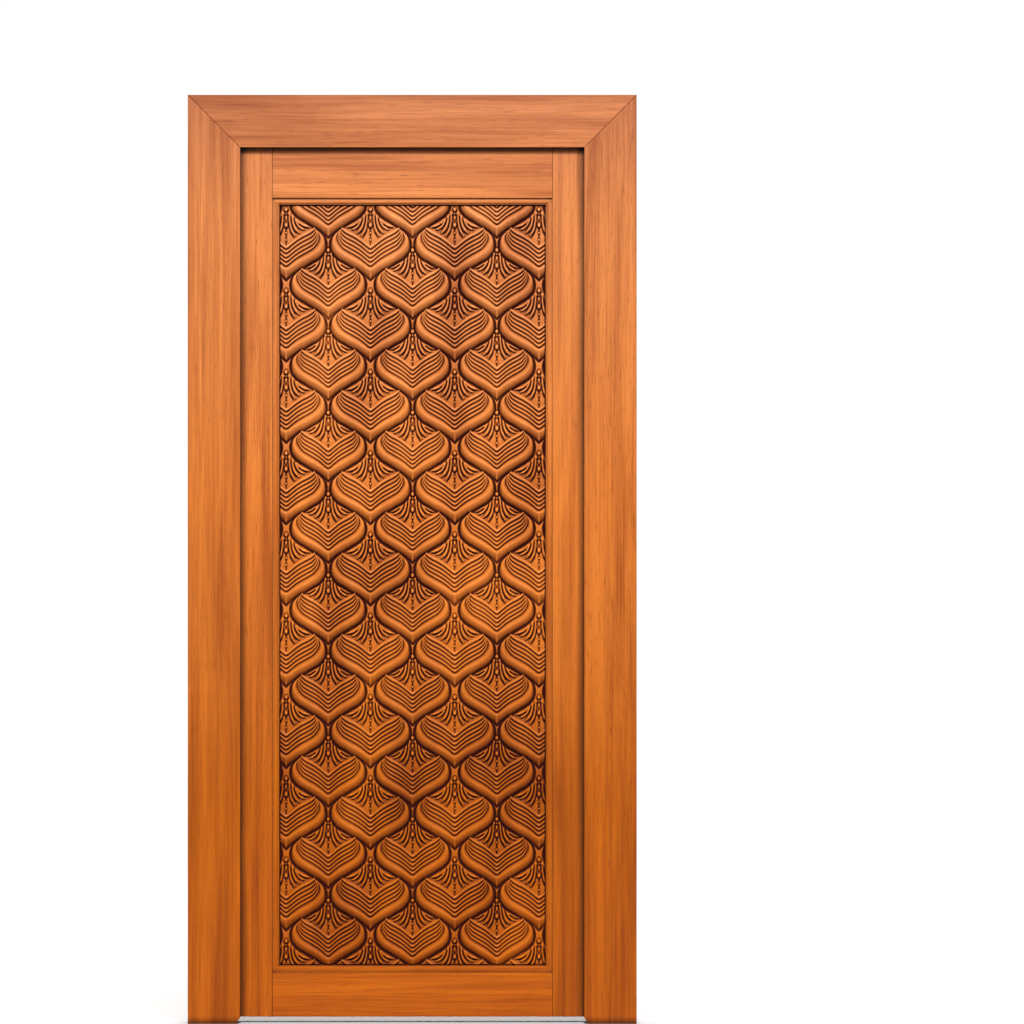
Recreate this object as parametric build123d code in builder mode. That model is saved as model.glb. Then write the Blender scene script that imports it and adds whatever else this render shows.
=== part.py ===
from build123d import *
from math import ceil, floor
import os

# Driving sizes of the doorway and frame, in millimetres
opening_width = 802
opening_height = 2043
frame_face = 122
lip_depth = 17
rebate_width = 15
foot_bevel_width = 10
foot_bevel_height = 15
tongue_thickness = 8
tongue_width = 44
tongue_end_margin = 22
tongue_clearance = 0.5
fixing_hole_radius = 5
fixing_end_margin = 300

# Driving sizes of the leaf and the gaps round it
leaf_thickness = 45
side_gap = 3
top_gap = 3
floor_gap = 15
arris = 0.8
stile_width = 86
top_rail_height = 129
bottom_rail_height = 103
tenon_thickness = 15
tenon_length = 60
tenon_shoulder = 14
tenon_clearance = 1

# Driving sizes of the panel and its beads
panel_thickness = 14
panel_depth = 16
panel_edge_gap = 1.5
bead_width = 15
bead_recess = 5
bead_bevel = 5
back_bead_depth = 10

# Driving sizes of the hinges
hinge_length = 100
hinge_plate_thickness = 2.5
hinge_plate_width = 32
knuckle_radius = 6
knuckle_count = 3
knuckle_gap = 0.3
pin_radius = 3
pin_clearance = 0.05
pin_offset = 6.5
pin_overrun = 2
end_hinge_margin = 200

# Driving sizes of the carving
field_margin = 1
leaf_pitch_x = 197
leaf_pitch_z = 190
second_column_drop = 99
tip_below_field_top = 77
leaf_section_height = 78
relief_height = 9
ridge_height = 6.2
groove_height = 3
lobe_height = 5
fan_bead_radius = 7
fan_bead_height = 6

# Half leaf, as shares of the pitch: reach from the middle, lower edge, size of the section
leaf_stations = ((0, 0, 1), (0.107, 0.092, 1), (0.32, 0.221, 1), (0.437, 0.342, 0.35))
leaf_rise_share = 0.64
# Crests and grooves across the leaf: share of the way up, and height
leaf_section = (
    (0.00, 0),
    (0.18, relief_height),
    (0.38, groove_height),
    (0.48, ridge_height),
    (0.58, groove_height),
    (0.68, ridge_height),
    (0.78, groove_height),
    (0.90, ridge_height),
    (1.00, 0),
)
# Fan under the tip, as shares of the pitch: root and end of each lobe, and its width at the end
fan_lobes = (((0.03, -0.2), (0.095, -0.455), 11), ((0.085, -0.25), (0.215, -0.365), 11))
fan_start_share = 0.15
fan_drop_share = 0.48
bead_drop_share = 0.34

# Places worked out from the driving sizes
half_opening = opening_width / 2
half_rebate = half_opening + rebate_width
half_frame = half_opening + frame_face
frame_height = opening_height + frame_face
rebate_height = opening_height + rebate_width
frame_depth = lip_depth + leaf_thickness
front_y = -(frame_depth + pin_offset + knuckle_radius) / 2
leaf_front_y = front_y + lip_depth
back_y = front_y + frame_depth
half_leaf_width = half_rebate - side_gap
leaf_top = rebate_height - top_gap
leaf_bottom = floor_gap
half_panel_opening = half_leaf_width - stile_width
panel_opening_top = leaf_top - top_rail_height
panel_opening_bottom = leaf_bottom + bottom_rail_height
ground_y = leaf_front_y + panel_depth
panel_back_y = ground_y + panel_thickness
pin_y = back_y + pin_offset
pin_x = -(half_rebate + half_leaf_width) / 2

os.makedirs("parts", exist_ok=True)


def write(piece, name):
    piece.part.label = name
    export_step(piece.part, f"parts/{name}.step")


# The arrises round a member's front face are taken off, from some height up
def ease_front(above=0):
    front = faces().sort_by(Axis.Y)[0]
    chamfer([edge for edge in front.edges() if edge.center().Z > above], arris)


# Mitre planes at the two top corners of the frame
def mitre_plane(side):
    return Plane(
        origin=(side * half_frame, 0, frame_height),
        x_dir=(0, 1, 0),
        z_dir=(side, 0, -1),
    )


# A loose tongue lies across the middle of each mitre
mitre_length = (frame_face - rebate_width) * 2**0.5
tongue_length = mitre_length - 2 * tongue_end_margin
tongue_y = (leaf_front_y + back_y) / 2


def tongue_plane(side):
    middle = (frame_face - rebate_width) / 2
    return Plane(
        origin=(side * (half_frame - middle), tongue_y, frame_height - middle),
        x_dir=(side, 0, 1),
        z_dir=(0, -1, 0),
    )


def tongue(side, clearance, mode=Mode.ADD):
    with BuildSketch(tongue_plane(side)) as outline:
        Rectangle(tongue_length + 2 * clearance, tongue_width + 2 * clearance)
    extrude(outline.sketch, amount=tongue_thickness / 2, both=True, mode=mode)


# Hinge places and the blocks that house the plates
hinge_low = leaf_bottom + end_hinge_margin
hinge_high = leaf_top - end_hinge_margin
hinge_places = {
    "top_hinge": hinge_high,
    "middle_hinge": (hinge_low + hinge_high) / 2,
    "bottom_hinge": hinge_low,
}


def cut_hinge_housings(plate_x):
    plate_middle_y = back_y - hinge_plate_width / 2
    for z in hinge_places.values():
        with Locations((plate_x, plate_middle_y, z)):
            Box(
                hinge_plate_thickness,
                hinge_plate_width,
                hinge_length,
                mode=Mode.SUBTRACT,
            )


jamb_plate_x = -half_rebate - hinge_plate_thickness / 2
leaf_plate_x = -half_leaf_width + hinge_plate_thickness / 2


# Rebated jambs, mitred at the top and bevelled at the inner foot
def jamb(side):
    with BuildSketch(Plane.XY) as section:
        with BuildLine():
            Polyline(
                (side * half_frame, front_y),
                (side * half_opening, front_y),
                (side * half_opening, leaf_front_y),
                (side * half_rebate, leaf_front_y),
                (side * half_rebate, back_y),
                (side * half_frame, back_y),
                close=True,
            )
        make_face()
    extrude(section.sketch, amount=frame_height)
    split(bisect_by=mitre_plane(side), keep=Keep.TOP)
    inner_foot = side * half_opening
    with BuildSketch(Plane.XZ.offset(-back_y)) as bevel:
        with BuildLine():
            Polyline(
                (inner_foot, 0),
                (inner_foot + side * foot_bevel_width, 0),
                (inner_foot, foot_bevel_height),
                close=True,
            )
        make_face()
    extrude(bevel.sketch, amount=frame_depth, mode=Mode.SUBTRACT)
    ease_front(above=foot_bevel_height)
    hole_y = (leaf_front_y + back_y) / 2
    for hole_z in (fixing_end_margin, opening_height - fixing_end_margin):
        with BuildSketch(Plane.YZ.offset(side * half_rebate)) as hole:
            with Locations((hole_y, hole_z)):
                Circle(fixing_hole_radius)
        extrude(hole.sketch, amount=side * (frame_face - rebate_width), mode=Mode.SUBTRACT)


with BuildPart() as hinge_jamb:
    jamb(-1)
    tongue(-1, tongue_clearance, Mode.SUBTRACT)
    cut_hinge_housings(jamb_plate_x)
write(hinge_jamb, "hinge_jamb")

with BuildPart() as closing_jamb:
    jamb(1)
    tongue(1, tongue_clearance, Mode.SUBTRACT)
write(closing_jamb, "closing_jamb")

# Rebated head between the two mitres
with BuildPart() as frame_head:
    with BuildSketch(Plane.YZ.offset(-half_frame)):
        with BuildLine():
            Polyline(
                (front_y, opening_height),
                (front_y, frame_height),
                (back_y, frame_height),
                (back_y, rebate_height),
                (leaf_front_y, rebate_height),
                (leaf_front_y, opening_height),
                close=True,
            )
        make_face()
    extrude(amount=2 * half_frame)
    for side in (-1, 1):
        split(bisect_by=mitre_plane(side), keep=Keep.BOTTOM)
    ease_front()
    for side in (-1, 1):
        tongue(side, tongue_clearance, Mode.SUBTRACT)
write(frame_head, "frame_head")

for side, side_name in ((-1, "left"), (1, "right")):
    with BuildPart() as mitre_tongue:
        tongue(side, 0)
    write(mitre_tongue, f"mitre_tongue_{side_name}")

# Tenons on the rails and the mortises that take them
leaf_middle_y = leaf_front_y + leaf_thickness / 2
leaf_height = leaf_top - leaf_bottom
rails = {
    "top_rail": (panel_opening_top, leaf_top),
    "bottom_rail": (leaf_bottom, panel_opening_bottom),
}


def tenon_block(side, low, high, end_clearance, mode=Mode.ADD):
    length = tenon_length + end_clearance
    with Locations((side * half_panel_opening, leaf_middle_y, (low + high) / 2)):
        Box(
            2 * length,
            tenon_thickness,
            high - low - 2 * tenon_shoulder,
            mode=mode,
        )


def stile(side):
    with Locations((side * (half_leaf_width - stile_width / 2), leaf_middle_y, leaf_bottom)):
        Box(
            stile_width,
            leaf_thickness,
            leaf_height,
            align=(Align.CENTER, Align.CENTER, Align.MIN),
        )
    ease_front()
    for low, high in rails.values():
        tenon_block(side, low, high, tenon_clearance, Mode.SUBTRACT)


with BuildPart() as hinge_stile:
    stile(-1)
    cut_hinge_housings(leaf_plate_x)
write(hinge_stile, "hinge_stile")

with BuildPart() as closing_stile:
    stile(1)
write(closing_stile, "closing_stile")

for rail_name, (low, high) in rails.items():
    with BuildPart() as rail:
        with Locations((0, leaf_middle_y, (low + high) / 2)):
            Box(2 * half_panel_opening, leaf_thickness, high - low)
            Box(
                2 * (half_panel_opening + tenon_length),
                tenon_thickness,
                high - low - 2 * tenon_shoulder,
            )
        ease_front()
    write(rail, rail_name)

# Mitred beads in front of the panel and behind it
opening_middle_z = (panel_opening_top + panel_opening_bottom) / 2
half_opening_height = (panel_opening_top - panel_opening_bottom) / 2


def bead(seat_y, face_y, toward_side, toward_top):
    outward = 1 if face_y > seat_y else -1
    half_span = half_opening_height if toward_side else half_panel_opening
    half_reach = half_panel_opening if toward_side else half_opening_height
    section_plane = Plane(
        origin=(
            toward_side * half_reach if toward_side else -half_span,
            0,
            opening_middle_z + (toward_top * half_reach if toward_top else -half_span),
        ),
        x_dir=(-toward_side, 0, -toward_top),
        z_dir=(0, 0, 1) if toward_side else (1, 0, 0),
    )
    y_sign = 1 if section_plane.y_dir.Y > 0 else -1
    with BuildSketch(section_plane) as section:
        with BuildLine():
            Polyline(
                (0, y_sign * seat_y),
                (0, y_sign * face_y),
                (bead_width - bead_bevel, y_sign * face_y),
                (bead_width, y_sign * (face_y - outward * bead_bevel)),
                (bead_width, y_sign * seat_y),
                close=True,
            )
        make_face()
    extrude(section.sketch, amount=2 * half_span)
    for end in (-1, 1):
        corner_x = toward_side * half_reach if toward_side else end * half_span
        corner_z = toward_top * half_reach if toward_top else end * half_span
        along = (0, 0, end) if toward_side else (end, 0, 0)
        across = (toward_side, 0, toward_top)
        cut = Plane(
            origin=(corner_x, 0, opening_middle_z + corner_z),
            x_dir=(0, 1, 0),
            z_dir=Vector(along) - Vector(across),
        )
        split(bisect_by=cut, keep=Keep.BOTTOM)


bead_sides = {"top": (0, 1), "bottom": (0, -1), "left": (-1, 0), "right": (1, 0)}
for place, (toward_side, toward_top) in bead_sides.items():
    with BuildPart() as front_bead:
        bead(ground_y, leaf_front_y + bead_recess, toward_side, toward_top)
    write(front_bead, f"front_bead_{place}")
    with BuildPart() as back_bead:
        bead(panel_back_y, panel_back_y + back_bead_depth, toward_side, toward_top)
    write(back_bead, f"back_bead_{place}")

# Butt hinges: plates housed in jamb and stile, knuckles on one pin
knuckle_length = (hinge_length - (knuckle_count - 1) * knuckle_gap) / knuckle_count
knuckle_step = knuckle_length + knuckle_gap


def hinge_plate(plate_x, middle_z, first_knuckle):
    low_z = middle_z - hinge_length / 2
    with Locations((plate_x, back_y, middle_z)):
        Box(
            hinge_plate_thickness,
            hinge_plate_width,
            hinge_length,
            align=(Align.CENTER, Align.MAX, Align.CENTER),
        )
    for k in range(first_knuckle, knuckle_count, 2):
        knuckle_low = low_z + k * knuckle_step
        with Locations((plate_x, back_y, knuckle_low)):
            Box(
                hinge_plate_thickness,
                pin_offset,
                knuckle_length,
                align=(Align.CENTER, Align.MIN, Align.MIN),
            )
        with Locations((pin_x, pin_y, knuckle_low)):
            Cylinder(
                knuckle_radius,
                knuckle_length,
                align=(Align.CENTER, Align.CENTER, Align.MIN),
            )
    with Locations((pin_x, pin_y, middle_z)):
        Cylinder(pin_radius + pin_clearance, hinge_length, mode=Mode.SUBTRACT)


for hinge_name, z in hinge_places.items():
    with BuildPart() as jamb_plate:
        hinge_plate(jamb_plate_x, z, 0)
    write(jamb_plate, f"{hinge_name}_jamb_plate")
    with BuildPart() as leaf_plate:
        hinge_plate(leaf_plate_x, z, 1)
    write(leaf_plate, f"{hinge_name}_leaf_plate")
    with BuildPart() as pin:
        with Locations((pin_x, pin_y, z)):
            Cylinder(pin_radius, hinge_length + 2 * pin_overrun)
    write(pin, f"{hinge_name}_pin")

# Carved field and the spots of the leaf tips: a half-drop repeat with a leaf on the middle line
half_field_width = half_panel_opening - bead_width - field_margin
field_top = panel_opening_top - bead_width - field_margin
field_bottom = panel_opening_bottom + bead_width + field_margin
columns_aside = floor(half_field_width / (leaf_pitch_x / 2))
rows = ceil((field_top - field_bottom) / leaf_pitch_z) + 2
leaf_tips = []
fan_tips = []
for column in range(-columns_aside, columns_aside + 1):
    tip_x = column * leaf_pitch_x / 2
    first_tip_z = field_top - tip_below_field_top - (column % 2) * second_column_drop
    for row in range(-1, rows):
        tip_z = first_tip_z - row * leaf_pitch_z
        leaf_high = tip_z + leaf_rise_share * leaf_pitch_z
        if tip_z < field_top and leaf_high > field_bottom:
            leaf_tips.append((tip_x, 0, tip_z))
        fan_low = tip_z - fan_drop_share * leaf_pitch_z
        if tip_z - fan_start_share * leaf_pitch_z > field_bottom and fan_low < field_top:
            fan_tips.append((tip_x, 0, tip_z))


# One half of a leaf: sections across a rib, two ridges and a border, all the same shape
def leaf_profile(reach, low, size):
    points = [
        (ground_y - size * height, low + share * size * leaf_section_height)
        for share, height in leaf_section
    ]
    with BuildSketch(Plane.YZ.offset(reach)) as profile:
        with BuildLine():
            Polyline(*points, close=True)
        make_face()
    return profile.sketch


# The loft's facets are flat, so each is made again as a plane face
def with_plane_faces(shape):
    return Solid(Shell([Face(facet.outer_wire()) for facet in shape.faces()]))


with BuildPart() as half_leaf:
    loft(
        [
            leaf_profile(reach * leaf_pitch_x, low * leaf_pitch_z, size)
            for reach, low, size in leaf_stations
        ],
        ruled=True,
    )

with BuildPart() as ogee_leaf:
    add(with_plane_faces(half_leaf.part))
    mirror(about=Plane.YZ)

# A low peak with flat facets, from an outline on the ground up to one point
def peak(outline, top, height):
    base = [Vector(x, ground_y, z) for x, z in outline]
    apex = Vector(top[0], ground_y - height, top[1])
    slopes = [(a, b, apex) for a, b in zip(base, base[1:] + base[:1])]
    return Solid(Shell([Face(Wire.make_polygon(corners)) for corners in (base, *slopes)]))


# The fan under each tip: a bead on the middle line and two lobes on each side
with BuildPart() as fan:
    bead_z = -bead_drop_share * leaf_pitch_z
    bead_outline = [
        (0, bead_z + fan_bead_radius),
        (fan_bead_radius, bead_z),
        (0, bead_z - fan_bead_radius),
        (-fan_bead_radius, bead_z),
    ]
    add(peak(bead_outline, (0, bead_z), fan_bead_height))
    for root, end, width in fan_lobes:
        root_point = Vector(*root) * leaf_pitch_x
        end_point = Vector(*end) * leaf_pitch_x
        across = (end_point - root_point).normalized().rotate(Axis.Z, 90) * width / 2
        for side in (-1, 1):
            corners = (root_point, end_point - across, end_point + across)
            outline = [(side * corner.X, corner.Y) for corner in corners]
            add(peak(outline, (side * end_point.X, end_point.Y), lobe_height))

with BuildPart() as carved_panel:
    with Locations(*leaf_tips):
        add(ogee_leaf.part, clean=False)
    with Locations(*fan_tips):
        add(fan.part, clean=False)
    with BuildSketch(Plane.XZ.offset(-ground_y)):
        with Locations((0, (field_top + field_bottom) / 2)):
            Rectangle(2 * half_field_width, field_top - field_bottom)
    extrude(amount=relief_height + 1, mode=Mode.INTERSECT, clean=False)
    with Locations((0, ground_y, opening_middle_z)):
        Box(
            2 * (half_panel_opening - panel_edge_gap),
            panel_thickness,
            2 * (half_opening_height - panel_edge_gap),
            align=(Align.CENTER, Align.MIN, Align.CENTER),
        )
write(carved_panel, "carved_panel")
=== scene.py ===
import math

import bpy
import numpy as np
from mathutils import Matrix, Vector


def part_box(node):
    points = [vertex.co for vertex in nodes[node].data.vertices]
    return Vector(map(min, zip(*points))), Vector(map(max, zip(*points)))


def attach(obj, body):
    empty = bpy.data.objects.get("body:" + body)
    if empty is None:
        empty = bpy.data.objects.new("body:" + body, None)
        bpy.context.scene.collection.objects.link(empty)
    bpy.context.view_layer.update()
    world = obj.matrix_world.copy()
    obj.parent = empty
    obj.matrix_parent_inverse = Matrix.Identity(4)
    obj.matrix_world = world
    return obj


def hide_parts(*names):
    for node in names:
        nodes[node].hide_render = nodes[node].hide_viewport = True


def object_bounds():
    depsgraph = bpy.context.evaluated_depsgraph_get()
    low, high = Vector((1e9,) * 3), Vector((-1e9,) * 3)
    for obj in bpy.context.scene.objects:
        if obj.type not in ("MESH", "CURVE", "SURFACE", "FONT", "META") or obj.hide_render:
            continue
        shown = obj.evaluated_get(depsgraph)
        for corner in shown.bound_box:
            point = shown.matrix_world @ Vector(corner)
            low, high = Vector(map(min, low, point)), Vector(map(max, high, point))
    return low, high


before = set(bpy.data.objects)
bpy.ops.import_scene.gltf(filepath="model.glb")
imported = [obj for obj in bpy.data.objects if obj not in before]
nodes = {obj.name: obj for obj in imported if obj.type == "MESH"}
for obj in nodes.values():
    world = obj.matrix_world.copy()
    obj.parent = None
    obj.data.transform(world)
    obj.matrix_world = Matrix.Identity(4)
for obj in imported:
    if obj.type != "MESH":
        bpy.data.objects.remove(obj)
cad_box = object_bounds()
MM = 0.001


def box_mm(node):
    """Lowest and highest corner of a node's box, in millimetres."""
    low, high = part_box(node)
    return np.array(low) / MM, np.array(high) / MM


# Carved field, read from the frame, and the pitch of its repeat, in millimetres
FIELD_MARGIN = 1.0
panel_low, panel_high = box_mm("carved_panel")
left_bead_corner = box_mm("front_bead_left")[1]
FIELD_HALF_WIDTH = -left_bead_corner[0] - FIELD_MARGIN
FIELD_TOP = box_mm("front_bead_top")[0][2] - FIELD_MARGIN
FIELD_BOTTOM = box_mm("front_bead_bottom")[1][2] + FIELD_MARGIN
GROUND_Y = left_bead_corner[1]
PITCH_X = 197.0
PITCH_Z = 190.0
SECOND_COLUMN_DROP = 99.0
FAN_COLUMN_DROP = 95.0
TIP_BELOW_FIELD_TOP = 77.0
SECOND_LEAF_WIDTH = 1.07
SECOND_LEAF_HEIGHT = 1.03

# Heights of the carving above its ground, in millimetres
RIB_HEIGHT = 9.0
RIDGE_HEIGHT = 7.0
BORDER_HEIGHT = 7.4
VALLEY_HEIGHT = 2.4
WEB_HEIGHT = 4.4
WEB_AT_RIB = 0.4
RING_FLOOR = 0.3
KEEL_RISE = 2.6
KNOT_RISE = 1.1
LOBE_RISE = 4.2
SLIT_DEPTH = 3.4
BEAD_SINK = 2.0
BEAD_LIFT = 1.0
NO_LEAF = -1.0

# Widths of the carving's forms and places on them, in millimetres
KEEL_WIDTH = 2.4
KNOT_WIDTH = 3.2
FULL_RIDGE_WIDTH = 3.2
LOBE_WIDTH = 3.4
SLIT_WIDTH = 1.7
WEB_EDGE_WIDTH = 4.0
EDGE_SINK = 4.0
RIB_TAPER_FROM = 95.0
RIB_TAPER_LENGTH = 25.0
FAN_TOP = -22.0
FAN_FOOT = -125.0
FAN_HALF_WIDTH = 66.0
FAN_BEADS_HALF_WIDTH = 20.0

# Shares and exponents that round the forms; a ring's place and width are in radii of its bead
RIB_TAPER = 0.3
RIB_ROUNDNESS = 0.65
KEEL_EASE = 0.25
INNER_RIB_CURVE = 2.6
RIDGE_CURVE = 1.05
LEAST_RIDGE_SHARE = 0.2
LOBE_FADE_FROM = 0.75
LOBE_FADE = 1.5
RING_DEPTH = 0.55
RING_PLACE = 1.3
RING_WIDTH = 0.4
TINY = 1e-9
TINY_SQUARE = 1e-12

# Mesh of the carving, in millimetres, and the shade painted into its hollows, under its ribs and along
# its beads, with highlight painted on its crests
TILE_STEP = 0.6
CELL = 1.6
BANDS = 5
WALL = 0.02
RELIEF_IN_NORMALS = 1.7
STEEPEST_NORMAL = 1.15
SKY_FROM_ABOVE = 0.9
SKY_DIRECTIONS = 12
SKY_STEPS = (1, 2, 3, 5, 7, 10, 14, 19, 24)
PROUD_BLUR = 60
PROUD_HEIGHT = 3.0
PAINTED_HIGHLIGHT_SHARE = 0.5
FOOT_WIDTH = 4.5
RIB_FOOT_SHADE_SHARE = 0.2
EDGE_SHADE = 0.5

# Curves of half a leaf, in millimetres outwards from its middle line and up from its tip
RIB_EDGE = (
    (0, 0), (12, 10.5), (23, 18.5), (35, 25.5), (47, 32.5), (58, 39.5), (70, 46.5), (79, 55),
    (86, 65), (88.5, 77), (87.5, 88.5), (84, 99), (78, 106), (70, 114), (61, 119.5),
)
RIB_CREST = (
    (0, 25), (3.5, 25.8), (8, 28), (16, 33.5), (35, 44), (47, 50), (58, 57.5), (69, 65.5), (77, 76),
    (81, 87), (79.5, 97), (75, 105), (68, 112), (61, 119),
)
RIB_GROOVE = (
    (0, 31), (4, 33), (12, 40), (23, 49), (35, 56.5), (47, 63.5), (58, 70.5), (66, 80), (71.5, 91),
    (72, 103), (66, 115),
)
LEAF_TOP = (
    (0, 79.5), (4, 81.8), (12, 88.5), (23, 97.5), (35, 105.5), (47, 111.5), (55, 116.5), (58, 118.5),
    (60, 119.5), (61, 120.5), (62, 121),
)
CREST_SHARES = (0.10, 0.30, 0.49, 0.70, 0.90)
GROOVE_SHARES = (0.0, 0.20, 0.395, 0.60, 0.80)

# Curves of half a fan, outwards from its middle line and up from the tip above it
LOBE_CRESTS = (
    ((8, -36), (8, -47), (9, -58), (11, -70), (14.5, -79), (21, -90)),
    ((15, -44), (16, -54), (18.5, -65), (23.5, -75), (30.5, -83)),
    ((22, -53), (25, -60), (30, -67.5), (37.5, -73), (43, -75)),
    ((26, -52), (30, -57.5), (37, -63.5), (46.5, -66.5), (55, -69)),
)
LOBE_SLITS = (
    ((5, -40), (5.4, -51), (6.5, -60), (7.7, -70), (10, -79), (14, -88.5), (18.5, -95)),
    ((11, -44), (11.5, -56), (14, -67.5), (17.5, -75.5), (23.5, -81.5), (31, -86)),
    ((18.5, -51), (21, -59.5), (25, -67), (31.5, -73.5), (42, -77.5)),
    ((31.5, -63), (37.5, -67.5), (44.5, -71), (52, -72)),
    ((0, -72), (0, -80), (0, -96), (0, -113)),
)
# Beads of a fan: outwards, up, half width, half height, rise
FAN_BEADS = (
    (0.0, -28.5, 3.8, 5.0, 4.6),
    (6.2, -37.5, 2.9, 4.4, 3.4),
    (0.0, -38.0, 2.6, 3.0, 2.0),
    (0.0, -48.0, 2.8, 5.8, 2.8),
    (0.0, -65.0, 4.2, 5.8, 5.4),
    (0.0, -83.0, 2.3, 3.2, 2.2),
    (0.0, -99.5, 2.3, 3.4, 2.2),
)


def smooth_curve(points, steps=5):
    """A smooth curve that passes through all the points."""
    p = np.array(points, float)
    p = np.vstack([2 * p[0] - p[1], p, 2 * p[-1] - p[-2]])
    t = np.linspace(0, 1, steps, endpoint=False)[:, None]
    runs = []
    for a, b, c, d in zip(p, p[1:], p[2:], p[3:]):
        runs.append(
            0.5 * (2 * b + (c - a) * t + (2 * a - 5 * b + 4 * c - d) * t**2
                   + (3 * b - a - 3 * c + d) * t**3)
        )
    return np.vstack([*runs, p[-2:-1]])


def ease(value):
    """Smooth step from 0 to 1."""
    value = np.clip(value, 0, 1)
    return value * value * (3 - 2 * value)


def bell(distance, width):
    """Bell curve, 1 where the distance is 0."""
    return np.exp(-((distance / width) ** 2))


def distance_to(curve, x, z, fade_from=None):
    """Distance from each point to a run of straight pieces, longer past a share of its length."""
    best = np.full(x.shape, np.inf)
    share = np.zeros(x.shape)
    count = len(curve) - 1
    for piece, ((ax, az), (bx, bz)) in enumerate(zip(curve, curve[1:])):
        dx, dz = bx - ax, bz - az
        t = np.clip(((x - ax) * dx + (z - az) * dz) / (dx * dx + dz * dz + TINY_SQUARE), 0, 1)
        distance = (x - ax - t * dx) ** 2 + (z - az - t * dz) ** 2
        share = np.where(distance < best, (piece + t) / count, share)
        best = np.minimum(best, distance)
    if fade_from is None:
        return np.sqrt(best)
    return np.sqrt(best) * (1 + LOBE_FADE * ease((share - fade_from) / (1 - fade_from)))


def inside(outline, x, z):
    """Which points lie inside a closed outline."""
    found = np.zeros(x.shape, bool)
    for (ax, az), (bx, bz) in zip(outline, np.roll(outline, -1, axis=0)):
        if az == bz:
            continue
        crosses = (az > z) != (bz > z)
        found ^= crosses & (x < ax + (z - az) * (bx - ax) / (bz - az))
    return found


rib_edge = smooth_curve(RIB_EDGE)
rib_crest = smooth_curve(RIB_CREST)
rib_groove = smooth_curve(RIB_GROOVE)
leaf_top = smooth_curve(LEAF_TOP)
lobe_crests = [smooth_curve(curve, 3) for curve in LOBE_CRESTS]
lobe_slits = [smooth_curve(curve, 3) for curve in LOBE_SLITS]


def strand(share):
    """Curve at a share of the way from the rib's groove to the leaf's top."""
    return rib_groove * (1 - share) + leaf_top * share


def leaf_height(x, z):
    """Height of one leaf, NO_LEAF outside it, and the distance to the rib's outer edge."""
    to_edge = distance_to(rib_edge, x, z)
    to_crest = distance_to(rib_crest, x, z)
    to_groove = distance_to(rib_groove, x, z)
    outer = inside(np.vstack([rib_edge, rib_crest[::-1]]), x, z)
    inner = inside(np.vstack([rib_crest, rib_groove[::-1]]), x, z)
    ridged = inside(np.vstack([rib_groove, leaf_top[::-1]]), x, z)
    fade = 1 - RIB_TAPER * ease((z - RIB_TAPER_FROM) / RIB_TAPER_LENGTH)
    climb = to_edge / (to_edge + to_crest + TINY)
    slope = (1 - RIB_ROUNDNESS) * climb + RIB_ROUNDNESS * np.sin(climb * math.pi / 2)
    keel = KEEL_RISE * bell(x, KEEL_WIDTH) * ease(climb / KEEL_EASE) * (1 - climb)
    height = np.where(outer, RIB_HEIGHT * fade * slope + keel, NO_LEAF)
    climb = to_groove / (to_groove + to_crest + TINY)
    rise = RIB_HEIGHT * fade - VALLEY_HEIGHT
    height = np.where(inner, VALLEY_HEIGHT + rise * (1 - (1 - climb) ** INNER_RIB_CURVE), height)
    crest_lines = [distance_to(strand(s), x, z) for s in CREST_SHARES]
    crests = np.min(crest_lines, axis=0)
    grooves = np.min([distance_to(strand(s), x, z) for s in GROOVE_SHARES], axis=0)
    width = crests + grooves
    climb = grooves / (width + TINY)
    top = np.where(crest_lines[-1] <= crests, BORDER_HEIGHT, RIDGE_HEIGHT)
    rise = (top - VALLEY_HEIGHT) * np.clip(width / FULL_RIDGE_WIDTH, LEAST_RIDGE_SHARE, 1)
    low = top - rise
    knot = KNOT_RISE * bell(x, KNOT_WIDTH)
    ridge = low + (rise + knot) * np.sin(climb * math.pi / 2) ** RIDGE_CURVE
    return np.where(ridged, ridge, height), to_edge


def fan_height(x, z):
    """Height of one fan's lobes with the slits between them."""
    crests, slits = (
        np.min([distance_to(curve, x, z, LOBE_FADE_FROM) for curve in curves], axis=0)
        for curves in (lobe_crests, lobe_slits)
    )
    return WEB_HEIGHT + LOBE_RISE * bell(crests, LOBE_WIDTH) - SLIT_DEPTH * bell(slits, SLIT_WIDTH)


def beaded(height, x, z):
    """The fan's beads, each in a sunk ring, set over a height."""
    for bx, bz, half_width, half_height, rise in FAN_BEADS:
        d = np.sqrt(((np.abs(x) - bx) / half_width) ** 2 + ((z - bz) / half_height) ** 2)
        ring = min(SLIT_DEPTH, RING_DEPTH * half_width) * bell(d - RING_PLACE, RING_WIDTH)
        height = np.maximum(height - ring, RING_FLOOR)
        dome = WEB_HEIGHT - BEAD_SINK + (rise + BEAD_LIFT) * np.sqrt(np.clip(1 - d * d, 0, 1))
        height = np.where(d < 1, np.maximum(height, dome), height)
    return height


def blurred(tile, passes):
    """Softens a tile that repeats upwards and is mirrored at its sides."""
    for _ in range(passes):
        tile = (np.roll(tile, 1, 1) + 2 * tile + np.roll(tile, -1, 1)) / 4
        wide = np.vstack([tile[1:2], tile, tile[-2:-1]])
        tile = (wide[:-2] + 2 * wide[1:-1] + wide[2:]) / 4
    return tile


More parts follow.
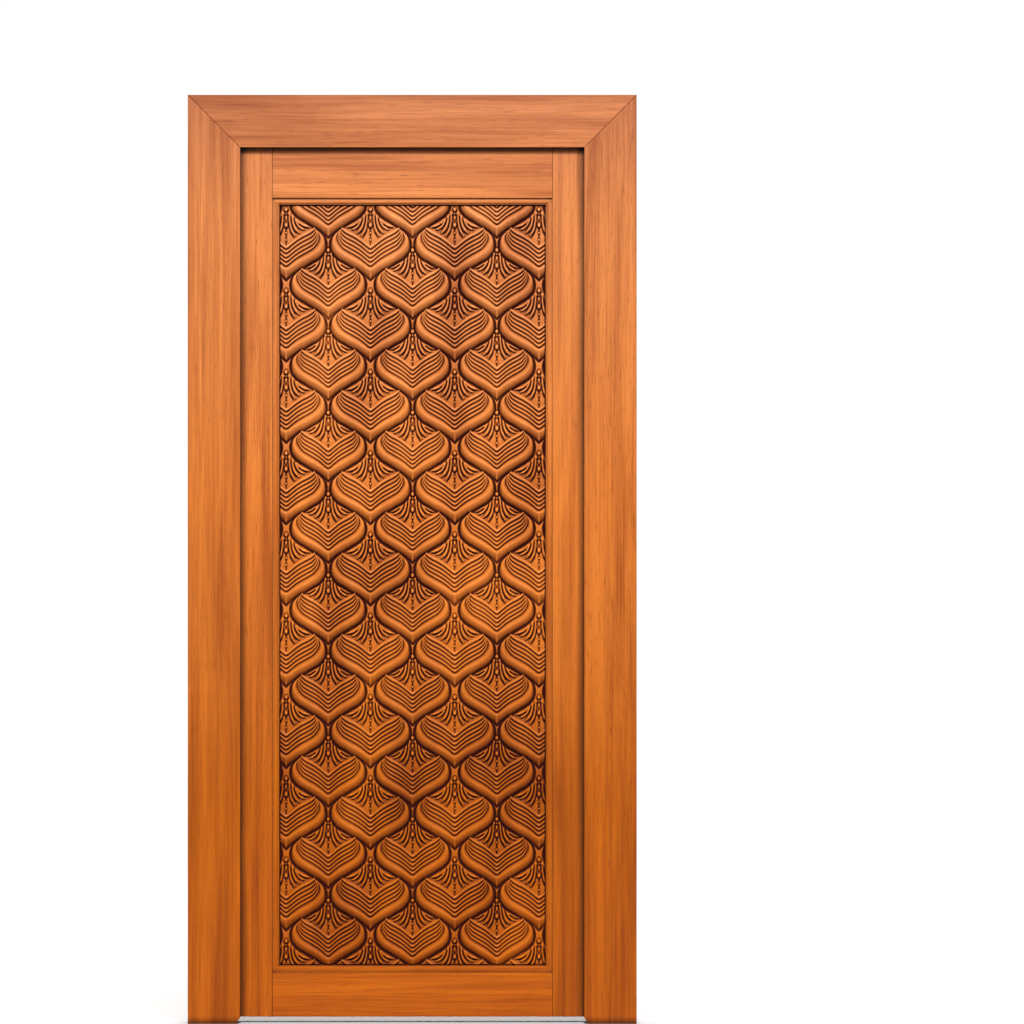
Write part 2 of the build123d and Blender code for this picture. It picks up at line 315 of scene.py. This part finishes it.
def make_tile():
    """Heights over half a pitch across and one pitch up, and distances to the ribs' outer edges."""
    half_pitch = PITCH_X / 2
    across = np.linspace(0, half_pitch, round(half_pitch / TILE_STEP) + 1)
    up = np.arange(round(PITCH_Z / TILE_STEP)) * PITCH_Z / round(PITCH_Z / TILE_STEP)
    x, z = np.meshgrid(across, up, indexing="ij")
    height = np.full(x.shape, NO_LEAF)
    edge = np.full(x.shape, np.inf)
    for offset in (-PITCH_Z, 0, PITCH_Z):
        second_x = (half_pitch - x) / SECOND_LEAF_WIDTH
        second_z = (z - offset + SECOND_COLUMN_DROP) / SECOND_LEAF_HEIGHT
        for leaf_x, leaf_z in ((x, z - offset), (second_x, second_z)):
            one, to_edge = leaf_height(leaf_x, leaf_z)
            height, edge = np.maximum(height, one), np.minimum(edge, to_edge)
    spots = []
    for offset in (0, PITCH_Z, 2 * PITCH_Z):
        spots += [(x, z - offset), (half_pitch - x, z - offset + FAN_COLUMN_DROP)]
    web = np.full(x.shape, WEB_HEIGHT)
    for fan_x, fan_z in spots:
        here = (fan_z < FAN_TOP) & (fan_z > FAN_FOOT) & (fan_x < FAN_HALF_WIDTH)
        web = np.where(here, fan_height(fan_x, fan_z), web)
    web = WEB_AT_RIB + (web - WEB_AT_RIB) * ease(edge / WEB_EDGE_WIDTH)
    for fan_x, fan_z in spots:
        here = (fan_z < 0) & (fan_z > FAN_FOOT) & (fan_x < FAN_BEADS_HALF_WIDTH)
        web = np.where(here, beaded(web, fan_x, fan_z), web)
    return blurred(np.where(height >= 0, height, web), 1), edge


def openness(tile):
    """Share of the sky that each place on the carving sees."""
    reach = SKY_STEPS[-1]
    padded = np.pad(tile, ((reach, reach), (0, 0)), "reflect")
    padded = np.pad(padded, ((0, 0), (reach, reach)), "wrap")
    rows, columns = tile.shape
    seen = np.zeros(tile.shape)
    total = 0
    for turn in range(SKY_DIRECTIONS):
        angle = 2 * math.pi * turn / SKY_DIRECTIONS
        steepest = np.zeros(tile.shape)
        for far in SKY_STEPS:
            i, j = round(far * math.cos(angle)), round(far * math.sin(angle))
            span = TILE_STEP * math.hypot(i, j)
            shifted = padded[reach + i : reach + i + rows, reach + j : reach + j + columns]
            steepest = np.maximum(steepest, (shifted - tile) / span)
        # The sky above counts more, so the painted shade is deeper under the ribs
        weight = 1 + SKY_FROM_ABOVE * math.sin(angle)
        seen += weight / (1 + steepest**2)
        total += weight
    return seen / total


tile, from_rib_edge = make_tile()
# Painted shade where the carving sees little sky and at the ribs' outer feet; less of it, down to
# painted highlight, where the carving stands proud
proud = np.clip((tile - blurred(tile, PROUD_BLUR)) / PROUD_HEIGHT, 0, 1)
rib_foot_shade = bell(from_rib_edge, FOOT_WIDTH)
painted_shade_and_highlight = 1 - openness(tile) - PAINTED_HIGHLIGHT_SHARE * proud + RIB_FOOT_SHADE_SHARE * rib_foot_shade
slope_x = np.gradient(tile, axis=0)
slope_z = (np.roll(tile, -1, 1) - np.roll(tile, 1, 1)) / 2


def sample(grid, x, z, odd=False):
    """Bilinear reading of a tile at places on the panel."""
    step_x = (PITCH_X / 2) / (grid.shape[0] - 1)
    step_z = PITCH_Z / grid.shape[1]
    folded = np.mod(x, PITCH_X)
    mirrored = folded > PITCH_X / 2
    u = np.where(mirrored, PITCH_X - folded, folded) / step_x
    v = np.mod(z - (FIELD_TOP - TIP_BELOW_FIELD_TOP), PITCH_Z) / step_z
    i = np.clip(np.floor(u).astype(int), 0, grid.shape[0] - 2)
    j = np.floor(v).astype(int) % grid.shape[1]
    k = (j + 1) % grid.shape[1]
    fu, fv = u - i, v - np.floor(v)
    low = grid[i, j] * (1 - fu) + grid[i + 1, j] * fu
    high = grid[i, k] * (1 - fu) + grid[i + 1, k] * fu
    value = low * (1 - fv) + high * fv
    return np.where(mirrored, -value, value) if odd else value


def put(name, data, location=(0, 0, 0), rotation=(0, 0, 0)):
    """Makes an object and links it into the scene."""
    made = bpy.data.objects.new(name, data)
    made.location = location
    made.rotation_euler = rotation
    bpy.context.scene.collection.objects.link(made)
    return made


def closed_faces(columns, rows):
    """The quads of a grid, and the back and sides that close it over four corners after it."""
    index = np.arange(columns * rows).reshape(columns, rows)
    quads = np.stack([index[:-1, :-1], index[1:, :-1], index[1:, 1:], index[:-1, 1:]], -1)
    b = columns * rows
    closing = [
        [b + 3, b + 2, b + 1, b],
        [b, b + 1, *index[::-1, 0].tolist()],
        [b + 2, b + 3, *index[:, -1].tolist()],
        [b + 1, b + 2, *index[-1, ::-1].tolist()],
        [b + 3, b, *index[0, :].tolist()],
    ]
    return quads.reshape(-1, 4).tolist(), closing


def carved_band(name, low_z, high_z, material):
    """A closed slice of the board with the relief on its front."""
    columns = round(2 * FIELD_HALF_WIDTH / CELL)
    rows = round((high_z - low_z) / CELL)
    xs = np.linspace(-FIELD_HALF_WIDTH, FIELD_HALF_WIDTH, columns + 1)
    side = np.array([panel_high[0], FIELD_HALF_WIDTH + WALL])
    xs = np.concatenate([-side, xs, side[::-1]])
    zs = np.linspace(max(low_z, FIELD_BOTTOM), min(high_z, FIELD_TOP), rows + 1)
    if low_z < FIELD_BOTTOM:
        zs = np.concatenate([[panel_low[2], FIELD_BOTTOM - WALL], zs])
    if high_z > FIELD_TOP:
        zs = np.concatenate([zs, [FIELD_TOP + WALL, panel_high[2]]])
    x, z = np.meshgrid(xs, zs, indexing="ij")
    carved = (np.abs(x) <= FIELD_HALF_WIDTH) & (z >= FIELD_BOTTOM) & (z <= FIELD_TOP)
    from_bead = np.minimum(FIELD_HALF_WIDTH - np.abs(x), np.minimum(FIELD_TOP - z, z - FIELD_BOTTOM))
    sunk = ease(from_bead / EDGE_SINK)
    height = np.where(carved, sample(tile, x, z) * sunk, 0)
    # Painted shade and highlight, with a painted shadow of the beads along the sunk margin
    dark = np.where(carved, sample(painted_shade_and_highlight, x, z) + EDGE_SHADE * (1 - sunk), 0)
    lean = RELIEF_IN_NORMALS * sunk / TILE_STEP
    gx = np.where(carved, sample(slope_x, x, z, odd=True) * lean, 0)
    gz = np.where(carved, sample(slope_z, x, z) * lean, 0)
    soften = 1 / np.sqrt(1 + (gx**2 + gz**2) / STEEPEST_NORMAL**2)
    gx, gz = gx * soften, gz * soften
    normals = np.stack([-gx, -np.ones_like(gx), -gz], axis=-1).reshape(-1, 3)
    normals /= np.linalg.norm(normals, axis=1)[:, None]
    normals = np.vstack([normals, np.tile([0, 1, 0], (4, 1))])
    front = np.stack([x, GROUND_Y - height, z], axis=-1).reshape(-1, 3)
    corners = [(xs[0], zs[0]), (xs[-1], zs[0]), (xs[-1], zs[-1]), (xs[0], zs[-1])]
    back = np.array([(cx, panel_high[1], cz) for cx, cz in corners])
    vertices = np.vstack([front, back]) * MM
    quads, closing = closed_faces(*x.shape)
    mesh = bpy.data.meshes.new(name)
    mesh.from_pydata(vertices.tolist(), [], quads + closing)
    mesh.polygons.foreach_set("use_smooth", [True] * len(quads) + [False] * len(closing))
    mesh.normals_split_custom_set_from_vertices(normals.tolist())
    shade = mesh.attributes.new("painted_shade_and_highlight", "FLOAT", "POINT")
    shade.data.foreach_set("value", np.append(dark.reshape(-1), [0] * 4).astype(np.float32))
    mesh.materials.append(material)
    piece = put(name, mesh)
    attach(piece, "leaf")
    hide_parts("carved_panel")


# Materials

def linear(red, green, blue):
    """A display colour, 0 to 255, as the linear values that shaders take."""
    shares = (red / 255, green / 255, blue / 255)
    return (*(v / 12.92 if v <= 0.04045 else ((v + 0.055) / 1.055) ** 2.4 for v in shares), 1)


class Nodes:
    """Short calls for making a material's nodes."""

    def __init__(self, name):
        self.material = bpy.data.materials.new(name)
        self.material.use_nodes = True
        self.tree = self.material.node_tree
        self.shader = self.tree.nodes["Principled BSDF"]
        self.output = self.tree.nodes["Material Output"]

    def add(self, kind, inputs=None, **settings):
        """A new node with its settings, and its inputs by name or number."""
        node = self.tree.nodes.new(kind)
        for key, value in settings.items():
            setattr(node, key, value)
        for key, value in (inputs or {}).items():
            self.feed(node, key, value)
        return node

    def feed(self, node, key, value):
        """Links an output to an input, or sets the input's value."""
        socket = node.inputs[key]
        if isinstance(value, bpy.types.NodeSocket):
            self.tree.links.new(value, socket)
        else:
            socket.default_value = value

    def maths(self, operation, a, b=0.0, clamp=False):
        node = self.add("ShaderNodeMath", {0: a, 1: b}, operation=operation, use_clamp=clamp)
        return node.outputs[0]

    def over(self, a, b, gain, clamp=False):
        """How far a is over b, times a gain."""
        return self.maths("MULTIPLY", self.maths("SUBTRACT", a, b), gain, clamp)

    def line(self, value, factor, added, clamp=False):
        """The value times a factor, with something added."""
        return self.maths("ADD", self.maths("MULTIPLY", value, factor), added, clamp)

    def mix(self, share, a, b, blend="MIX"):
        node = self.add("ShaderNodeMix", data_type="RGBA", blend_type=blend)
        self.feed(node, 0, share)
        self.feed(node, 6, a)
        self.feed(node, 7, b)
        return node.outputs[2]

    def tinted(self, colour, tint):
        """A colour multiplied by another."""
        return self.mix(1.0, colour, tint, "MULTIPLY")

    def ramp(self, value, stops):
        node = self.add("ShaderNodeValToRGB", {"Fac": value})
        elements = node.color_ramp.elements
        elements[0].position, elements[0].color = stops[0]
        elements[1].position, elements[1].color = stops[-1]
        for position, colour in stops[1:-1]:
            elements.new(position).color = colour
        return node.outputs[0]

    def mapped(self, vector, **inputs):
        """A vector with a Location or a Scale put to it."""
        return self.add("ShaderNodeMapping", {"Vector": vector, **inputs}).outputs[0]

    def noise(self, vector, detail, roughness=0.5, distortion=0.0, scale=1.0):
        node = self.add(
            "ShaderNodeTexNoise",
            {
                "Vector": vector,
                "Scale": scale,
                "Detail": detail,
                "Roughness": roughness,
                "Distortion": distortion,
            },
        )
        return node.outputs["Fac"]

    def bump(self, height, strength, distance):
        """Gives the shader a bump of a height."""
        inputs = {"Height": height, "Strength": strength, "Distance": distance}
        self.feed(self.shader, "Normal", self.add("ShaderNodeBump", inputs).outputs[0])


# Scales of the wood's figure along x, y and z, for grain that runs along x or along z
BOARD = {"x": (0.9, 17, 17), "z": (17, 17, 0.9)}
STREAK = {"x": (2.4, 150, 150), "z": (150, 150, 2.4)}
FIBRE = {"x": (9, 520, 520), "z": (520, 520, 9)}
PORE = {"x": (26, 800, 800), "z": (800, 800, 26)}
PATCH = (7.0, 7.0, 2.6)

# The teak's colours, and factors on them
DOOR_HEIGHT = cad_box[1][2]
# Paler and pinker towards the top, deeper and more saturated towards the floor: painted light from
# above, laid on the teak's own colour
TONES_WITH_PAINTED_LIGHT_UP_THE_DOOR = (
    (0.0, linear(166, 83, 12)),
    (0.25, linear(168, 86, 14)),
    (0.56, linear(199, 113, 46)),
    (0.88, linear(200, 123, 70)),
    (1.0, linear(180, 111, 73)),
)
DARK_FIGURE = (0.58, 0.43, 0.37)
LIGHT_FIGURE = (1.22, 1.21, 1.14)
PORE_COLOUR = linear(104, 44, 18)
# Painted highlight on proud crests, and painted shade, warm and then dark, towards hollows and under
# the ribs
PAINTED_HIGHLIGHT_TINT = (1.5, 1.72, 2.2, 1)
WARM_SHADE_TINT = (1.06, 0.92, 0.66, 1)
PAINTED_SHADE_COLOUR = linear(54, 12, 4)
# Painted shade, nearly black, laid in nooks and recesses such as under the frame's lip, at joints and
# beside the beads
NOOK_SHADE_COLOUR = linear(18, 4, 1)

# Shares, limits and gains of the teak's figure, the painted highlight and painted shade of the carving,
# the painted shade in nooks, and gloss
BOARD_SHARE = 0.6
STREAK_SHARE = 0.4
FIGURE_FROM, FIGURE_GAIN = 0.32, 3.2
PATCH_FROM, PATCH_GAIN = 0.28, 2.3
CARVED_FIGURE_SHARE = 0.25
BACK_FACING = 0.5
FIBRE_CONTRAST, FIBRE_LOWEST = 0.34, 0.83
PORE_BELOW, PORE_GAIN = 0.38, 7.0
PORE_STRENGTH, CARVED_PORE_STRENGTH = 0.65, 0.15
PAINTED_SHADE_STRENGTH, PAINTED_SHADE_PATCHES = 1.7, 1.4
PAINTED_HIGHLIGHT_GAIN, WARM_SHADE_GAIN, PAINTED_SHADE_GAIN = -2.4, 5.0, 2.7
# Reach, samples and gain of the painted shade in nooks; the next three values are how open a place may
# be before painted shade comes in, on plain wood, beads and carving
NOOK_REACH, NOOK_SAMPLES, NOOK_SHADE_GAIN = 0.02, 4, 4.0
WOOD_NOOK_SHADE_FROM, BEAD_NOOK_SHADE_FROM, CARVED_NOOK_SHADE_FROM = 0.88, 0.66, 0.6
GLOSS_SPREAD = 0.2
ROUGHNESS, CARVED_ROUGHNESS, HOLLOW_ROUGHNESS = 0.38, 0.24, 1.2
SPECULAR_LEVEL = 0.12
PORE_DEPTH = 0.8

# The brass's brushing, colours and gloss
BRUSHED = (900, 900, 30)
BRASS_TONES = ((0.3, linear(176, 134, 62)), (0.7, linear(206, 168, 92)))
BRASS_GLOSS_SPREAD, BRASS_ROUGHNESS = 0.25, 0.22


def mottled(n, spread, region):
    """The figure in broad patches on the carved front, and left as it is on the plain back."""
    patches = n.over(region, PATCH_FROM, PATCH_GAIN)
    patched = n.line(spread, CARVED_FIGURE_SHARE, patches, clamp=True)
    outward = n.add("ShaderNodeTexCoord").outputs["Normal"]
    facing = n.add("ShaderNodeSeparateXYZ", {"Vector": outward}).outputs["Y"]
    return n.mix(n.maths("LESS_THAN", facing, BACK_FACING), spread, patched)


def with_painted_shade_and_highlight(n, base, painted_shade_amount):
    """Painted highlight where the carving stands proud, then painted shade, warm and then dark, towards
    its hollows.
    """
    for gain, tint in ((PAINTED_HIGHLIGHT_GAIN, PAINTED_HIGHLIGHT_TINT), (WARM_SHADE_GAIN, WARM_SHADE_TINT)):
        base = n.mix(n.maths("MULTIPLY", painted_shade_amount, gain, clamp=True), base, n.tinted(base, tint))
    return n.mix(n.maths("MULTIPLY", painted_shade_amount, PAINTED_SHADE_GAIN, clamp=True), base, PAINTED_SHADE_COLOUR)


def teak(name, grain, offset, tone=0.0, carved=False, nook_shade_from=WOOD_NOOK_SHADE_FROM):
    """Oiled teak with its grain along one axis; the offset picks a place in the log. Its colour holds
    painted light that pales up the door, painted shade in nooks and, when carved, painted shade and
    highlight on the relief.
    """
    n = Nodes(name)
    place = n.add("ShaderNodeTexCoord").outputs["Object"]
    shifted = n.mapped(place, Location=offset)
    board = n.noise(n.mapped(shifted, Scale=BOARD[grain]), detail=3, roughness=0.55, distortion=1.2)
    streaks = n.noise(n.mapped(shifted, Scale=STREAK[grain]), detail=3, roughness=0.6, distortion=1.0)
    fibres = n.noise(n.mapped(shifted, Scale=FIBRE[grain]), detail=2, roughness=0.6)
    pores = n.noise(n.mapped(shifted, Scale=PORE[grain]), detail=1)
    up = n.add("ShaderNodeSeparateXYZ", {"Vector": place}).outputs["Z"]
    # Painted light: the colour grows paler up the door, by height
    base = n.ramp(n.maths("DIVIDE", up, DOOR_HEIGHT, clamp=True), TONES_WITH_PAINTED_LIGHT_UP_THE_DOOR)
    dark, light = (
        n.tinted(base, (*((1 + tone) * c for c in figure), 1)) for figure in (DARK_FIGURE, LIGHT_FIGURE)
    )
    figure = n.line(board, BOARD_SHARE, n.maths("MULTIPLY", streaks, STREAK_SHARE))
    spread = n.over(figure, FIGURE_FROM, FIGURE_GAIN, clamp=True)
    if carved:
        region = n.noise(n.mapped(place, Scale=PATCH), detail=2)
        spread = mottled(n, spread, region)
    base = n.mix(spread, dark, light)
    fine = n.line(fibres, FIBRE_CONTRAST, FIBRE_LOWEST)
    base = n.tinted(base, n.add("ShaderNodeCombineXYZ", {0: fine, 1: fine, 2: fine}).outputs[0])
    pore = n.over(PORE_BELOW, pores, PORE_GAIN, clamp=True)
    pore_strength = CARVED_PORE_STRENGTH if carved else PORE_STRENGTH
    base = n.mix(n.maths("MULTIPLY", pore, pore_strength), base, PORE_COLOUR)
    rough = n.line(fibres, GLOSS_SPREAD, CARVED_ROUGHNESS if carved else ROUGHNESS)
    if carved:
        # Painted shade and highlight of the carving, stronger in some patches than in others; the
        # roughness follows the painted shade
        painted_shade_here = n.add("ShaderNodeAttribute", attribute_name="painted_shade_and_highlight").outputs["Fac"]
        patchy = n.maths("SUBTRACT", PAINTED_SHADE_STRENGTH, n.maths("MULTIPLY", region, PAINTED_SHADE_PATCHES))
        painted_shade_amount = n.maths("MULTIPLY", painted_shade_here, patchy)
        base = with_painted_shade_and_highlight(n, base, painted_shade_amount)
        rougher = n.maths("MULTIPLY", painted_shade_amount, HOLLOW_ROUGHNESS, clamp=True)
        rough = n.maths("ADD", rough, rougher, clamp=True)
    # Painted shade in nooks: the less sky a place sees within a short reach, the nearer its colour goes
    # to near-black
    open_sky = n.add("ShaderNodeAmbientOcclusion", {"Distance": NOOK_REACH}, samples=NOOK_SAMPLES)
    nook_shade = n.over(nook_shade_from, open_sky.outputs["AO"], NOOK_SHADE_GAIN, clamp=True)
    n.feed(n.shader, "Base Color", n.mix(nook_shade, base, NOOK_SHADE_COLOUR))
    n.feed(n.shader, "Roughness", rough)
    n.feed(n.shader, "Specular IOR Level", SPECULAR_LEVEL)
    grained = n.maths("SUBTRACT", fibres, n.maths("MULTIPLY", pore, PORE_DEPTH))
    n.bump(grained, strength=0.25, distance=0.0005)
    return n.material


def brass(name):
    """Satin brass, brushed up and down and a little clouded."""
    n = Nodes(name)
    place = n.add("ShaderNodeTexCoord").outputs["Object"]
    lines = n.noise(n.mapped(place, Scale=BRUSHED), detail=3, roughness=0.6)
    cloudy = n.noise(place, detail=4, roughness=0.6, scale=60.0)
    n.feed(n.shader, "Base Color", n.ramp(cloudy, BRASS_TONES))
    n.feed(n.shader, "Metallic", 1.0)
    n.feed(n.shader, "Roughness", n.line(lines, BRASS_GLOSS_SPREAD, BRASS_ROUGHNESS))
    n.bump(lines, strength=0.12, distance=0.0002)
    return n.material


def dress(node, material):
    """Gives a solid its material."""
    slots = nodes[node].data.materials
    slots.clear()
    slots.append(material)


# Grain, place in the log and tone of each member
WOOD = {
    "hinge_jamb": ("z", 0.3, 0.0),
    "closing_jamb": ("z", 1.7, 0.0),
    "frame_head": ("x", 3.1, 0.02),
    "mitre_tongue_left": ("x", 4.3, 0.0),
    "mitre_tongue_right": ("x", 4.9, 0.0),
    "hinge_stile": ("z", 5.6, 0.07),
    "closing_stile": ("z", 7.2, -0.03),
    "top_rail": ("x", 8.5, 0.06),
    "bottom_rail": ("x", 9.4, 0.16),
}
LOG_DIRECTION = (1, 0.37, 0.61)
BEAD_LOG = (11.0, 2.0, 3.0)
CARVED_LOG = (13.0, 2.2, 1.4)
for node, (grain, log_place, tone) in WOOD.items():
    offset = tuple(share * log_place for share in LOG_DIRECTION)
    dress(node, teak(f"teak_{node}", grain, offset, tone))
for side in ("front", "back"):
    for place, grain in (("top", "x"), ("bottom", "x"), ("left", "z"), ("right", "z")):
        offset = (BEAD_LOG[0] + len(place), BEAD_LOG[1] + len(side), BEAD_LOG[2])
        bead_teak = teak(f"teak_{side}_bead_{place}", grain, offset, nook_shade_from=BEAD_NOOK_SHADE_FROM)
        dress(f"{side}_bead_{place}", bead_teak)
hinge_brass = brass("hinge_brass")
for node in nodes:
    if "_plate" in node or node.endswith("_pin"):
        dress(node, hinge_brass)

carved_teak = teak("teak_carved", "z", CARVED_LOG, carved=True, nook_shade_from=CARVED_NOOK_SHADE_FROM)
cuts = np.linspace(FIELD_BOTTOM, FIELD_TOP, BANDS + 1)
cuts[0], cuts[-1] = panel_low[2], panel_high[2]
for band, (low_z, high_z) in enumerate(zip(cuts, cuts[1:])):
    carved_band(f"carved_band_{band + 1}", low_z, high_z, carved_teak)


# Slotted screws in the hinge plates, in millimetres
SIDE_GAP = 3.0
PLATE_REACH = 24.5
SCREW_RADIUS = 4.2
SCREW_BEVEL = 0.3
SCREW_BEVEL_DROP = 0.15
SCREW_PROUD = 0.3
SCREW_ROOT = 0.4
SLOT_HALF_WIDTH = 0.5
SLOT_FLOOR = 0.08
DISC_SHARE = 0.97
ARC_STEPS = 14
# Places of the screws: up from the plate's middle, and back from its front edge
SCREW_SPOTS = ((-38, 3.5), (-13, 14.5), (13, 3.5), (38, 14.5))
# Turn of the slots, in radians
FIRST_TURN = 0.5
TURN_STEP = 1.9


def prism(outline, levels, vertices, faces):
    """Adds a closed prism: the outline at each level, drawn in or out by the level's scale."""
    first = len(vertices)
    count = len(outline)
    for out, scale in levels:
        vertices += [(u * scale, v * scale, out) for u, v in outline]
    for level in range(len(levels) - 1):
        a = first + level * count
        for k in range(count):
            after = (k + 1) % count
            faces.append((a + k, a + after, a + count + after, a + count + k))
    faces.append(tuple(range(first + count - 1, first - 1, -1)))
    top = first + (len(levels) - 1) * count
    faces.append(tuple(range(top, top + count)))


def arc(radius, angles):
    """Points on a circle at some angles; a negative radius puts them on its other side."""
    return [(radius * math.cos(a), radius * math.sin(a)) for a in angles]


def screw_head():
    """One slotted head, facing +Z: a low disc with two half rounds on it."""
    vertices, faces = [], []
    whole_turn = [2 * math.pi * k / (2 * ARC_STEPS) for k in range(2 * ARC_STEPS)]
    disc = arc(SCREW_RADIUS * DISC_SHARE, whole_turn)
    prism(disc, ((-SCREW_ROOT, 1), (SLOT_FLOOR, 1)), vertices, faces)
    start = math.asin(SLOT_HALF_WIDTH / SCREW_RADIUS)
    half_turn = [start + (math.pi - 2 * start) * k / ARC_STEPS for k in range(ARC_STEPS + 1)]
    bevel = 1 - SCREW_BEVEL / SCREW_RADIUS
    levels = ((-SCREW_ROOT, 1), (SCREW_PROUD - SCREW_BEVEL_DROP, 1), (SCREW_PROUD, bevel))
    for side in (1, -1):
        prism(arc(side * SCREW_RADIUS, half_turn), levels, vertices, faces)
    return vertices, faces


def screws(plate, face_x, facing, material):
    """The screws of one hinge plate, as one piece."""
    low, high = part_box(plate)
    middle_z = (low.z + high.z) / 2 / MM
    head_vertices, head_faces = screw_head()
    vertices, faces = [], []
    for k, (up, from_edge) in enumerate(SCREW_SPOTS):
        angle = FIRST_TURN + TURN_STEP * k + middle_z
        cos, sin = math.cos(angle), math.sin(angle)
        first = len(vertices)
        for u, v, out in head_vertices:
            across, rise = u * cos - v * sin, u * sin + v * cos
            y = stile_high[1] - PLATE_REACH + from_edge + facing * across
            vertices.append(tuple(c * MM for c in (face_x + facing * out, y, middle_z + up + rise)))
        faces += [tuple(first + i for i in face) for face in head_faces]
    name = plate.replace("_plate", "_screws")
    mesh = bpy.data.meshes.new(name)
    mesh.from_pydata(vertices, [], faces)
    mesh.materials.append(material)
    piece = put(name, mesh)
    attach(piece, "frame" if "jamb" in plate else "leaf")


stile_low, stile_high = box_mm("hinge_stile")
for hinge in ("top_hinge", "middle_hinge", "bottom_hinge"):
    screws(f"{hinge}_jamb_plate", stile_low[0] - SIDE_GAP, 1, hinge_brass)
    screws(f"{hinge}_leaf_plate", stile_low[0], -1, hinge_brass)


# Floor, world, lights and camera, in metres

FADE_START = 2.0
FADE_END = 3.6
FLOOR_REACH = FADE_END + 0.2
FLOOR_GREY = (0.62, 0.62, 0.62, 1)
FLOOR_ROUGHNESS = 0.9
WHITE = (1, 1, 1, 1)
WORLD_LIGHT = 0.09


def floor_material():
    """A grey floor that fades out into the white background."""
    n = Nodes("floor_white")
    n.feed(n.shader, "Base Color", FLOOR_GREY)
    n.feed(n.shader, "Roughness", FLOOR_ROUGHNESS)
    place = n.add("ShaderNodeTexCoord").outputs["Object"]
    away = n.add("ShaderNodeVectorMath", {0: place}, operation="LENGTH").outputs["Value"]
    fade = n.add(
        "ShaderNodeMapRange",
        {"Value": away, "From Min": FADE_START, "From Max": FADE_END},
        interpolation_type="SMOOTHSTEP",
    )
    clear = n.add("ShaderNodeBsdfTransparent").outputs[0]
    both = n.add("ShaderNodeMixShader", {0: fade.outputs[0], 1: n.shader.outputs[0], 2: clear})
    n.tree.links.new(both.outputs[0], n.output.inputs["Surface"])
    return n.material


def make_floor():
    """A flat square under the door."""
    signs = ((-1, -1), (1, -1), (1, 1), (-1, 1))
    mesh = bpy.data.meshes.new("floor")
    mesh.from_pydata([(FLOOR_REACH * i, FLOOR_REACH * j, 0) for i, j in signs], [], [(0, 1, 2, 3)])
    mesh.materials.append(floor_material())
    floor = put("floor", mesh)


def make_world():
    """White where it is seen, also in gloss and through the floor, and dim as a light."""
    world = bpy.data.worlds.new("studio")
    bpy.context.scene.world = world
    world.use_nodes = True
    tree = world.node_tree
    dim = tree.nodes["Background"]
    dim.inputs["Color"].default_value = WHITE
    dim.inputs["Strength"].default_value = WORLD_LIGHT
    white = tree.nodes.new("ShaderNodeBackground")
    white.inputs["Color"].default_value = WHITE
    rays = tree.nodes.new("ShaderNodeLightPath").outputs
    seen = rays["Is Camera Ray"]
    for kind in ("Is Glossy Ray", "Is Transmission Ray"):
        either = tree.nodes.new("ShaderNodeMath")
        either.operation = "MAXIMUM"
        tree.links.new(seen, either.inputs[0])
        tree.links.new(rays[kind], either.inputs[1])
        seen = either.outputs[0]
    choice = tree.nodes.new("ShaderNodeMixShader")
    for number, socket in enumerate((seen, dim.outputs[0], white.outputs[0])):
        tree.links.new(socket, choice.inputs[number])
    tree.links.new(choice.outputs[0], tree.nodes["World Output"].inputs["Surface"])


make_floor()
make_world()

# The sun, its angles in degrees
KEY_ELEVATION = 41
KEY_TO_THE_RIGHT = 3
KEY_WIDTH = 5
KEY_POWER = 2.9
sun = bpy.data.lights.new("key", "SUN")
sun.energy = KEY_POWER
sun.angle = math.radians(KEY_WIDTH)
sun_turn = (math.radians(90 - KEY_ELEVATION), 0, math.radians(KEY_TO_THE_RIGHT))
put("key", sun, rotation=sun_turn)

# Area lights: name, place, target, width and height, power in watts
AREA_LIGHTS = (
    ("softbox", (0.4, -2.7, 3.6), (0, 0, 1.3), (2.4, 1.0), 66),
    ("behind", (0, 3.4, 4.2), (0, 3.4, 0), (9, 4), 400),
)
for name, place, target, size, power in AREA_LIGHTS:
    lamp = bpy.data.lights.new(name, "AREA")
    lamp.shape = "RECTANGLE"
    lamp.size, lamp.size_y = size
    lamp.energy = power
    aim = (Vector(target) - Vector(place)).to_track_quat("-Z", "Y").to_euler()
    put(name, lamp, place, aim)

# The photograph's frame: pixels of 2.33 mm, door middle at 412 across, floor at its lower edge
PIXEL = 0.00233
DOOR_MIDDLE_PX = 412.2
PICTURE_PX = 1024
CAMERA_DISTANCE = 9.0
SENSOR_WIDTH = 36
door_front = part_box("hinge_jamb")[0].y
view_width = PICTURE_PX * PIXEL
camera_data = bpy.data.cameras.new("camera")
camera_data.sensor_width = SENSOR_WIDTH
camera_data.lens = SENSOR_WIDTH * (CAMERA_DISTANCE + door_front) / view_width
camera_place = ((PICTURE_PX / 2 - DOOR_MIDDLE_PX) * PIXEL, -CAMERA_DISTANCE, view_width / 2)
camera = put("camera", camera_data, camera_place, (math.pi / 2, 0, 0))
bpy.context.scene.camera = camera
bpy.context.scene.view_settings.view_transform = "Standard"
